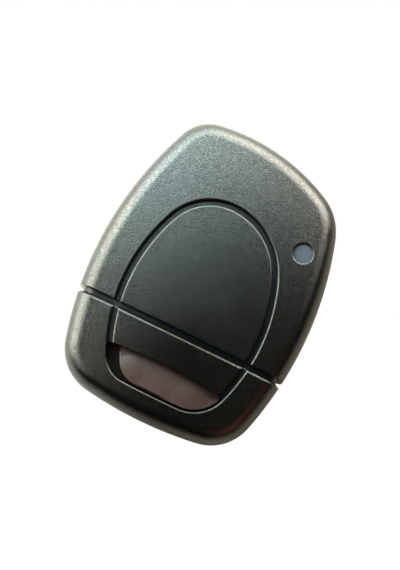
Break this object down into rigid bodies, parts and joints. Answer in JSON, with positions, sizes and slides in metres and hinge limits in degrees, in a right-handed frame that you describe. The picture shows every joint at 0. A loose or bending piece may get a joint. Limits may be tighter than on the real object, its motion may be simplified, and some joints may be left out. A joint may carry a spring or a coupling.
{
  "type": "key fob",
  "caption": "Car remote key fob: pebble shell with slanted head, split tail, ring groove, light window, half-moon hinged button, transmitter inside.",
  "frame": {"origin": "centre of the fob's outline, on the flat back it lies on", "axes": "+Z out of the front face, +Y towards the slanted head end, +X across towards the light window"},
  "size_m": [0.0426, 0.0565, 0.0134],
  "materials": {
    "shell_plastic": "fine spark-eroded grain",
    "smoked_plastic": "polished, smoke-brown, slightly see-through",
    "lens_plastic": "frosted, slightly see-through",
    "bar_steel": "drawn wire",
    "screw_steel": "black zinc",
    "board_laminate": "green solder mask",
    "switch_plastic": "moulded",
    "cover_steel": "tinned",
    "plunger_plastic": "moulded",
    "cell_steel": "nickel plated",
    "gasket_plastic": "moulded",
    "contact_steel": "plated spring steel",
    "light_resin": "clear resin",
    "chip_resin": "moulded epoxy",
    "resonator_case": "plated lid",
    "capacitor_body": "fired",
    "resistor_body": "glazed",
    "aerial_copper": "copper foil",
    "slug_resin": "moulded epoxy"
  },
  "bodies": {
    "case": {"front_head_cover": "shell_plastic", "front_tail_cover": "shell_plastic", "rear_cover": "shell_plastic", "light_lens": "lens_plastic", "key_ring_bar": "bar_steel", "case_screw": "screw_steel", "circuit_board": "board_laminate", "switch_body": "switch_plastic", "switch_cover": "cover_steel", "switch_terminals": "cover_steel", "switch_dome": "cover_steel", "cell_can": "cell_steel", "cell_cap": "cell_steel", "cell_gasket": "gasket_plastic", "positive_clip": "contact_steel", "negative_contact": "contact_steel", "light": "light_resin", "control_chip": "chip_resin", "chip_legs": "cover_steel", "resonator": "resonator_case", "amplifier": "chip_resin", "capacitors": "capacitor_body", "resistors": "resistor_body", "aerial": "aerial_copper", "transponder": "slug_resin"},
    "button": {"button": "smoked_plastic"},
    "plunger": {"switch_plunger": "plunger_plastic"}
  },
  "joints": [
    {"name": "button_press", "type": "hinge", "parent": "case", "child": "button", "pos_m": [0.00115, -0.0148, 0.0092], "axis": [1, 0, 0], "range_deg": [0, 4], "stiffness_Nm_per_rad": 0.12},
    {"name": "switch_stroke", "type": "slide", "parent": "case", "child": "plunger", "axis": [0, 0, -1], "range_m": [0, 0.00025], "deforming": ["switch_dome"]}
  ],
  "couplings": [
    {"joint": "switch_stroke", "follows": "button_press", "m_per_rad": 0.0029}
  ]
}
